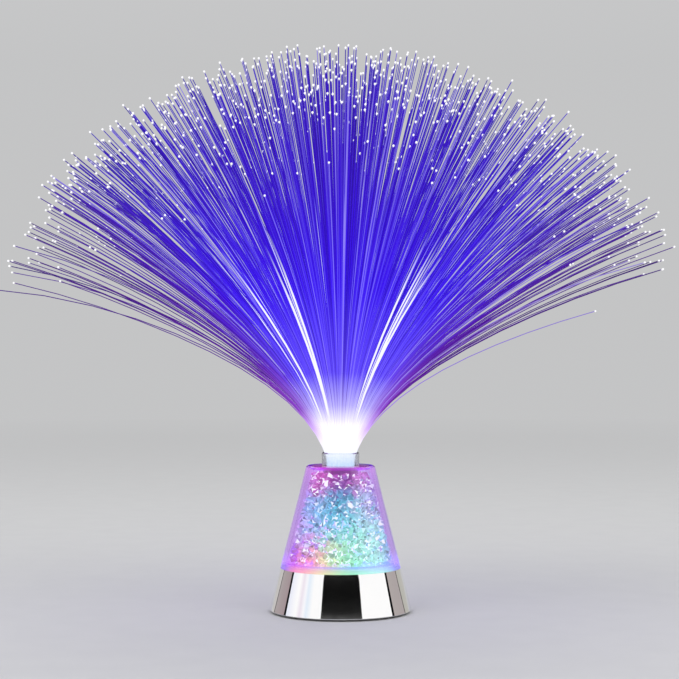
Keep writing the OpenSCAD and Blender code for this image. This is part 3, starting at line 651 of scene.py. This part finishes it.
def random_value(nodes, low, high, seed, per=None):
    """A random number, or a random vector, for each element or for each value of per."""
    kind = "FLOAT_VECTOR" if isinstance(low, tuple) else "FLOAT"
    node = nodes.add("FunctionNodeRandomValue", {"Seed": seed}, data_type=kind)
    ends = [s for s in node.inputs if s.enabled]
    ends[0].default_value, ends[1].default_value = low, high
    if per is not None:
        nodes.fill(node.inputs["ID"], per)
    return next(s for s in node.outputs if s.enabled)


def stored(nodes, geometry, label, value, domain="POINT"):
    """The geometry with a named number on its points or faces."""
    inputs = {"Geometry": geometry, "Name": label, "Value": value}
    return nodes.add("GeometryNodeStoreNamedAttribute", inputs, domain=domain).outputs[0]


# %% The chips
CONE_TAPER = 14.4  # degrees from the upright
CHIP_LAYERS = 3
CHIPS_TRIED = 400000.0  # per square metre, many more than their spacing lets in
CHIP_LEAST = (0.6, 0.5, 0.45)
CHIP_MOST = (1.1, 1.0, 0.95)
FULL_TURN = 6.28

tube_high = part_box("center_tube")[1]
floor_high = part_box("cone_floor")[1]
chip_sizes = {"Chip size": 5.0 * MM, "Spacing": 3.4 * MM, "Tube radius": tube_high.x,
    "Floor height": floor_high.z, "Heap height": 52.5 * MM, "Wall radius": floor_high.x - 0.9 * MM,
    "Slope": math.tan(math.radians(CONE_TAPER)), "Unevenness": 0.6 * MM, "Seed": 5}


def chip_heap(nodes, given):
    """Chips scattered over nested cones between the tube and the wall."""
    half = nodes.times(given["Chip size"], 0.5)
    room = nodes.minus(nodes.minus(given["Wall radius"], given["Tube radius"]), given["Chip size"])
    depth = nodes.minus(given["Heap height"], given["Chip size"])
    foot = nodes.plus(given["Floor height"], nodes.times(half, 0.85))
    heaps = nodes.add("GeometryNodeJoinGeometry")
    for layer in range(CHIP_LAYERS):
        inset = nodes.plus(half, nodes.times(room, layer / (CHIP_LAYERS - 1)))
        bottom = nodes.minus(given["Wall radius"], inset)
        narrowed = nodes.minus(bottom, nodes.times(depth, given["Slope"]))
        top = nodes.math("MAXIMUM", narrowed, nodes.plus(given["Tube radius"], half))
        cone = nodes.add("GeometryNodeMeshCone", {"Vertices": 48, "Side Segments": 1, "Radius Top": top,
            "Radius Bottom": bottom, "Depth": depth})
        lifted = nodes.add("GeometryNodeTransform", {"Geometry": cone.outputs["Mesh"],
            "Translation": nodes.xyz(0.0, 0.0, foot)})
        spread = nodes.add("GeometryNodeDistributePointsOnFaces", {"Mesh": lifted.outputs[0],
            "Distance Min": given["Spacing"], "Density Max": CHIPS_TRIED,
            "Seed": nodes.plus(given["Seed"], float(layer))}, distribute_method="POISSON")
        nodes.fill(heaps.inputs[0], spread.outputs["Points"])
    place = nodes.add("GeometryNodeInputPosition").outputs[0]
    off_axis = nodes.vector("LENGTH", nodes.vector("MULTIPLY", place, (1.0, 1.0, 0.0)))
    in_tube = nodes.math("LESS_THAN", off_axis, nodes.plus(given["Tube radius"], nodes.times(half, 0.8)))
    kept = nodes.add("GeometryNodeDeleteGeometry", {"Geometry": heaps.outputs[0], "Selection": in_tube})
    marked = stored(nodes, kept.outputs[0], "chip", random_value(nodes, 0.0, 1.0, 11))
    stone = nodes.add("GeometryNodeMeshIcoSphere", {"Radius": half, "Subdivisions": 1})
    scattered = nodes.add("GeometryNodeInstanceOnPoints", {"Points": marked, "Instance": stone.outputs[0],
        "Scale": random_value(nodes, CHIP_LEAST, CHIP_MOST, 12),
        "Rotation": random_value(nodes, (0.0,) * 3, (FULL_TURN,) * 3, 13)})
    solid = nodes.add("GeometryNodeRealizeInstances", {0: scattered.outputs[0]})
    knocked = nodes.scaled(random_value(nodes, (-1.0,) * 3, (1.0,) * 3, 15), given["Unevenness"])
    broken = nodes.add("GeometryNodeSetPosition", {"Geometry": solid.outputs[0], "Offset": knocked})
    return stored(nodes, broken.outputs[0], "facet", random_value(nodes, 0.0, 1.0, 14), "FACE")


# %% Finish of the chips
lit_crystal, tree, shader = material("lit_crystal")
chip = tree.fact("chip")
facet = tree.fact("facet")
off_chip = tree.minus(chip, 0.5)
luck = tree.xyz(off_chip, tree.minus(facet, 0.5), off_chip)
aside = tree.vector("MULTIPLY", luck, (8 * MM, 5 * MM, 10 * MM))
colour = light_field(tree, tree.vector("ADD", tree.place(), aside))
# Painted shade: each facet is painted lighter or darker at random, in place of the light it would catch
shade = tree.ramp(facet, [(0, grey(0.15)), (0.12, grey(0.50)), (0.6, grey(0.85)), (1, grey(1.15))])
# The violet wall in front takes some green, so the chips glow a little greener than the field.
lit = tree.vector("MULTIPLY", tree.vector("MULTIPLY", colour, shade), (1.05, 1.25, 0.92))
# Painted highlights: a few facets are painted near white as glints
sparkle = tree.scale_to(tree.plus(facet, tree.times(chip, 0.5)), 1.05, 1.3)
glow = tree.mix(sparkle, lit, (1.05, 1.3, 1.05, 1))
tree.fill(shader.inputs["Base Color"], tree.mix(0.92, glow, (0.03, 0.03, 0.04, 1)))
tree.fill(shader.inputs["Emission Color"], glow)
shader.inputs["Emission Strength"].default_value = 1.0
tree.fill(shader.inputs["Roughness"], tree.scale_to(chip, 0.0, 1.0, 0.04, 0.14))
shader.inputs["Coat Weight"].default_value = 0.25
shader.inputs["Coat Roughness"].default_value = 0.03

lit_chips = grown("lit_chips", chip_heap, chip_sizes, lit_crystal)
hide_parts("crystals")
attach(lit_chips, "lamp")

# %% [markdown]
# ## Fibers
# About fourteen hundred thin plastic fibers leave the bundle upright and lean further out the nearer they
# started to its edge, more to the sides than to the front and back. CAD has 320 of them on the same rule.
# A fiber is a path: its lean is a function of the length along it, and adding up small steps in that
# direction gives its points. Geometry Nodes do this for all fibers at once, with one point for each ring
# and a running sum within each fiber. A curve through the points then gets a small profile and a bead of
# light at its tip.

# %% Rule of the fibers
HALF_GOLDEN = math.pi * (3 - math.sqrt(5)) / 2
RING_BUNCHING = 1.6
WEARY_FROM = 0.93  # the luck from which a fiber sags twice as much
LONE_SCRATCH_FROM = 0.996  # the luck from which a fiber alone carries a painted white streak
# Places at the root near which fibers carry a painted highlight, a white streak, and how near
SCRATCHED = (((0.51, -0.79, 0.0), 0.05), ((-0.378, -0.89, 0.0), 0.026), ((-0.616, -0.775, 0.0), 0.02))
# Where along a fiber its painted white streak lies, and how much thicker its tube is there
SCRATCH_MIDDLE = 0.32
SCRATCH_HALF = 0.3
SCRATCH_WIDER = 0.4
SCRATCH_FLARE = 1.3

core_low, core_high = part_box("fiber_core")
fiber_sizes = {"Fibers": 480, "First pair": 0, "All pairs": 720, "Rings": 13, "Length": 235 * MM,
    "Length spread": 12 * MM, "Side trim": 15 * MM, "Short by": 55 * MM, "Thickness": 0.5 * MM,
    "Tip size": 1.3 * MM, "Root radius": 8.9 * MM, "Root height": core_high.z - 0.3 * MM, "Side lean": 58.0,
    "Front lean": 41.5, "First lean": 0.3, "Bend length": 40 * MM, "Droop": 14.0, "Unevenness": 5.0,
    "Stray": 18.0, "Wander": 7 * MM, "Seed": 11}


def fiber_fan(nodes, given):
    """One group of fibers. They come in pairs on opposite sides, numbered along a spiral from the middle."""
    index = nodes.add("GeometryNodeInputIndex").outputs[0]
    rings = given["Rings"]
    fiber = nodes.math("FLOOR", nodes.over(nodes.plus(index, 0.5), rings))
    ring = nodes.minus(index, nodes.times(fiber, rings))
    pair = nodes.plus(given["First pair"], nodes.math("FLOOR", nodes.times(fiber, 0.5)))
    share = nodes.math("SQRT", nodes.over(nodes.plus(pair, 0.5), given["All pairs"]))

    def chance(k):
        """The fiber's luck in its k-th draw, from 0 to 1."""
        return random_value(nodes, 0.0, 1.0, nodes.plus(given["Seed"], float(k)), fiber)

    # Which way it leans, and how far at its tip
    second = nodes.math("MODULO", fiber, 2.0)
    azimuth = nodes.plus(nodes.times(pair, HALF_GOLDEN), nodes.times(second, math.pi))
    across = nodes.math("COSINE", azimuth)
    ahead = nodes.math("SINE", azimuth)
    oval = nodes.vector("LENGTH", nodes.xyz(nodes.over(across, given["Side lean"]),
        nodes.over(ahead, given["Front lean"]), 0.0))
    even = nodes.over(share, oval)
    uneven_by = nodes.times(given["Unevenness"], share, nodes.minus(chance(1), 0.5))
    luckless = nodes.plus(0.3, nodes.times(nodes.power(chance(3), 4.0), 0.7))
    outermost = nodes.times(given["Stray"], nodes.power(share, 10.0))
    stray = nodes.times(outermost, nodes.times(luckless, nodes.power(across, 2.0)))
    full = nodes.math("RADIANS", nodes.plus(even, uneven_by, stray))

    # How long it is
    far_out = nodes.power(nodes.times(share, across), 4.0)
    trim = nodes.plus(nodes.times(given["Length spread"], chance(2)),
        nodes.times(given["Side trim"], far_out))
    short = nodes.times(given["Short by"], nodes.power(chance(8), 6.0))
    length = nodes.minus(given["Length"], nodes.plus(trim, short))

    def length_at(k):
        """How far along the fiber its k-th ring is. The rings are closer together near the root."""
        part = nodes.over(nodes.math("MAXIMUM", k, 0.0), nodes.minus(rings, 1.0))
        return nodes.times(length, nodes.power(part, RING_BUNCHING))

    # Its lean between this ring and the one before
    here = length_at(ring)
    before = length_at(nodes.minus(ring, 1.0))
    step = nodes.minus(here, before)
    middle = nodes.times(nodes.plus(here, before), 0.5)
    bent = nodes.math("EXPONENT", nodes.over(middle, nodes.times(given["Bend length"], -1.0)))
    upright = nodes.times(nodes.minus(1.0, given["First lean"]), bent)
    weary = nodes.plus(1.0, nodes.math("GREATER_THAN", chance(7), WEARY_FROM))
    sag = nodes.times(weary, nodes.math("SINE", full), nodes.math("RADIANS", given["Droop"]),
        nodes.power(nodes.over(middle, given["Length"]), 2.0))
    lean = nodes.plus(nodes.times(full, nodes.minus(1.0, upright)), sag)

    def total(value):
        """The sum of the steps so far, each times its value."""
        inputs = {"Value": nodes.times(step, value), "Group ID": fiber}
        return nodes.add("GeometryNodeAccumulateField", inputs).outputs["Leading"]

    # Where the ring lies
    out = nodes.plus(total(nodes.math("SINE", lean)), nodes.times(share, given["Root radius"]))
    up = nodes.plus(total(nodes.math("COSINE", lean)), given["Root height"])
    along = nodes.over(here, given["Length"])
    aside = nodes.times(given["Wander"], nodes.power(along, 1.5), nodes.minus(chance(4), 0.5))
    x = nodes.minus(nodes.times(out, across), nodes.times(aside, ahead))
    y = nodes.plus(nodes.times(out, ahead), nodes.times(aside, across))
    points = nodes.add("GeometryNodePoints", {"Count": nodes.times(given["Fibers"], rings)})
    shape = nodes.add("GeometryNodeSetPosition", {"Geometry": points.outputs[0],
        "Position": nodes.xyz(x, y, up)}).outputs[0]

    # What the finish needs to know
    root = nodes.xyz(nodes.times(share, across), nodes.times(share, ahead), 0.0)
    # Which fibers carry a painted highlight, a white streak: a few alone, and those rooted near the listed
    # places
    scratch = nodes.math("GREATER_THAN", chance(6), LONE_SCRATCH_FROM)
    for place, reach in SCRATCHED:
        close = nodes.math("LESS_THAN", nodes.vector("DISTANCE", root, place), reach)
        scratch = nodes.math("MAXIMUM", scratch, close)
    sideways = nodes.times(share, nodes.math("ABSOLUTE", across))
    facts = {"along": along, "tip": nodes.over(here, length), "sideways": sideways, "luck": chance(5),
        "scratch": scratch}
    for label, value in facts.items():
        shape = stored(nodes, shape, label, value)

    # Tubes, thicker along a painted white streak, with a bead at each tip
    curves = nodes.add("GeometryNodePointsToCurves", {"Points": shape, "Curve Group ID": fiber,
        "Weight": ring}).outputs[0]
    profile = nodes.add("GeometryNodeCurvePrimitiveCircle", {"Resolution": 4,
        "Radius": nodes.times(given["Thickness"], 0.5)})
    off_scratch = nodes.over(nodes.minus(along, SCRATCH_MIDDLE), SCRATCH_HALF)
    flare = nodes.math("MAXIMUM", 0.0, nodes.minus(1.0, nodes.power(off_scratch, 2.0)))
    thicker = nodes.times(scratch, nodes.plus(SCRATCH_WIDER, nodes.times(flare, SCRATCH_FLARE)))
    tubes = nodes.add("GeometryNodeCurveToMesh", {"Curve": curves, "Profile Curve": profile.outputs[0],
        "Scale": nodes.plus(1.0, thicker), "Fill Caps": True})
    smooth = nodes.add("GeometryNodeSetShadeSmooth", {"Geometry": tubes.outputs[0]})
    ends = nodes.add("GeometryNodeCurveEndpointSelection", {"Start Size": 0, "End Size": 1})
    bead = nodes.add("GeometryNodeMeshIcoSphere", {"Radius": nodes.times(given["Tip size"], 0.5),
        "Subdivisions": 1})
    beads = nodes.add("GeometryNodeInstanceOnPoints", {"Points": curves, "Selection": ends.outputs[0],
        "Instance": bead.outputs[0]})
    both = nodes.add("GeometryNodeJoinGeometry", {0: smooth.outputs[0]})
    nodes.fill(both.inputs[0], beads.outputs[0])
    return both.outputs[0]


# %% [markdown]
# ### Light in a fiber
# Light leaks out where a fiber bends most, so the neck is white-hot and fades through lilac to a deep
# blue-violet. The outermost fibers hold less of it and turn a darker purple. All of it comes out at the
# tip, which is a white dot. A few fibers carry a painted highlight, a white streak part of the way up,
# some side by side in front and some alone. The tree above left these facts on the mesh, and the finish
# turns them into colour.

# %% Finish of the fibers
FULL_WHITE = (1, 1, 1, 1)

lit_fiber, tree, shader = material("lit_fiber")
along = tree.fact("along")
luck = tree.fact("luck")
inner = tree.ramp(along, [(0, (0.90, 0.96, 1)), (0.03, (1, 1, 1)), (0.08, (0.96, 0.94, 1)),
    (0.13, (0.50, 0.46, 1)), (0.22, (0.12, 0.07, 0.96)), (0.45, (0.042, 0.006, 0.82)),
    (0.7, (0.036, 0.004, 0.58)), (1, (0.032, 0.003, 0.42))])
outer = tree.ramp(along, [(0, (0.90, 0.95, 1)), (0.03, (0.95, 0.90, 1)), (0.07, (0.66, 0.42, 0.95)),
    (0.13, (0.26, 0.05, 0.55)), (0.3, (0.10, 0.006, 0.28)), (0.6, (0.07, 0.004, 0.21)),
    (1, (0.055, 0.004, 0.18))])
body = tree.mix(tree.scale_to(tree.fact("sideways"), 0.70, 0.95), inner, outer)
unlike = tree.scale_to(along, 0.06, 0.16)
dimmed = tree.ramp(luck, [(0, (0.5, 0.4, 0.55)), (0.35, (0.85, 0.8, 0.88)), (0.6, (1, 1, 1))])
dull = tree.vector("MULTIPLY", body, tree.mix(unlike, FULL_WHITE, dimmed))
lucky = tree.ramp(luck, [(0.72, grey(0)), (0.9, grey(0.12)), (1, grey(0.5))])
varied = tree.mix(tree.times(unlike, lucky), dull, (0.45, 0.38, 1, 1))
# Painted highlight: a white streak part of the way up the fibers that carry one
shining = tree.ramp(along, [(0.06, grey(0)), (0.12, grey(1)), (0.45, grey(1)), (0.64, grey(0))])
streaked = tree.mix(tree.times(tree.fact("scratch"), shining), varied, (0.92, 0.92, 1, 1))
glow = tree.mix(tree.scale_to(tree.fact("tip"), 0.994, 0.9995), streaked, FULL_WHITE)
tree.fill(shader.inputs["Base Color"], tree.mix(0.9, glow, (0.012, 0.004, 0.06, 1)))
tree.fill(shader.inputs["Emission Color"], glow)
shader.inputs["Emission Strength"].default_value = 1.0
tree.fill(shader.inputs["Roughness"], tree.scale_to(luck, 0.0, 1.0, 0.2, 0.4))
shader.inputs["Specular IOR Level"].default_value = 0.15

# %% Grow the three groups
GROUPS = ("crown", "mid", "skirt")

for n, group in enumerate(GROUPS):
    own = {"First pair": n * (fiber_sizes["All pairs"] // len(GROUPS)), "Seed": fiber_sizes["Seed"] + 10 * n}
    fibers = grown("fibers_" + group, fiber_fan, {**fiber_sizes, **own}, lit_fiber)
    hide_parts("strands_" + group)
    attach(fibers, "bundle")

# %% [markdown]
# ### The bound bundle
# Inside the ferrule the fibers are packed side by side, like pencils in a cup. From the side they give the
# neck its fine flutes, and when the bundle is lifted out, its underside shows their cut ends. A grid of
# short rods, thinned to a circle, makes both. The collar squeezes them a little, just above the cone's
# top.

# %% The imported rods
GRID_COUNT = 23
HEX_ROW = 0.866  # how much closer rows lie than rods in a row, when each row fits the next one's gaps

rod_sizes = {"Bundle radius": core_high.x, "Rod size": 1.05 * MM, "Low end": core_low.z,
    "High end": core_high.z, "Waist height": cone_high.z + 0.5 * MM, "Waist length": 5 * MM, "Squeeze": 0.12}


def rod_pack(nodes, given):
    """Upright rods that stand side by side, drawn in at the waist."""
    half = nodes.times(given["Rod size"], 0.5)
    span = nodes.times(given["Rod size"], float(GRID_COUNT - 1))
    grid = nodes.add("GeometryNodeMeshGrid", {"Size X": span, "Size Y": span, "Vertices X": GRID_COUNT,
        "Vertices Y": GRID_COUNT})
    place = nodes.add("GeometryNodeInputPosition").outputs[0]
    x = nodes.axis(place, "X")
    row = nodes.math("ROUND", nodes.over(x, given["Rod size"]))
    shifted = nodes.times(nodes.math("MODULO", nodes.math("ABSOLUTE", row), 2.0), half)
    packed = nodes.add("GeometryNodeSetPosition", {"Geometry": grid.outputs["Mesh"],
        "Position": nodes.xyz(nodes.times(x, HEX_ROW), nodes.plus(nodes.axis(place, "Y"), shifted), 0.0)})
    points = nodes.add("GeometryNodeMeshToPoints", {"Mesh": packed.outputs[0]})
    outermost = nodes.minus(given["Bundle radius"], half)
    outside = nodes.math("GREATER_THAN", nodes.vector("LENGTH", place), outermost)
    kept = nodes.add("GeometryNodeDeleteGeometry", {"Geometry": points.outputs[0], "Selection": outside})
    rod = nodes.add("GeometryNodeMeshCylinder", {"Vertices": 6, "Side Segments": 8, "Radius": half,
        "Depth": nodes.minus(given["High end"], given["Low end"])})
    smooth = nodes.add("GeometryNodeSetShadeSmooth", {"Geometry": rod.outputs[0],
        "Selection": rod.outputs["Side"]})
    centre = nodes.times(nodes.plus(given["High end"], given["Low end"]), 0.5)
    raised = nodes.add("GeometryNodeTransform", {"Geometry": smooth.outputs[0],
        "Translation": nodes.xyz(0.0, 0.0, centre)})
    upright = nodes.add("GeometryNodeInstanceOnPoints", {"Points": kept.outputs[0],
        "Instance": raised.outputs[0]})
    solid = nodes.add("GeometryNodeRealizeInstances", {0: upright.outputs[0]})
    above_waist = nodes.minus(nodes.axis(place, "Z"), given["Waist height"])
    from_waist = nodes.over(above_waist, given["Waist length"])
    narrow = nodes.minus(1.0, nodes.times(nodes.bell(from_waist), given["Squeeze"]))
    return nodes.add("GeometryNodeSetPosition", {"Geometry": solid.outputs[0],
        "Position": nodes.vector("MULTIPLY", place, nodes.xyz(narrow, narrow, 1.0))}).outputs[0]


# %% Finish of the bound fibers
bound_light, tree, shader = material("bound_light")
# The rods glow, painted light: bluish low down and white at the top, with white flecks of painted light
height = tree.scale_to(tree.axis(tree.place(), "Z"), core_low.z, core_high.z)
glow = tree.ramp(height, [(0, (0.55, 0.58, 0.95)), (0.8, (0.55, 0.76, 1)), (1, (0.92, 0.97, 1))])
speckled = tree.mix(tree.scale_to(tree.noise(900, 2), 0.4, 0.7, 0.0, 0.4), glow, FULL_WHITE)
tree.fill(shader.inputs["Base Color"], tree.mix(0.9, speckled, (0.05, 0.05, 0.08, 1)))
tree.fill(shader.inputs["Emission Color"], speckled)
shader.inputs["Emission Strength"].default_value = 1.1
tree.fill(shader.inputs["Roughness"], tree.scale_to(tree.noise(1500, 2), 0.3, 0.7, 0.1, 0.25))

rods = grown("bound_fibers", rod_pack, rod_sizes, bound_light)
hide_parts("fiber_core")
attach(rods, "bundle")
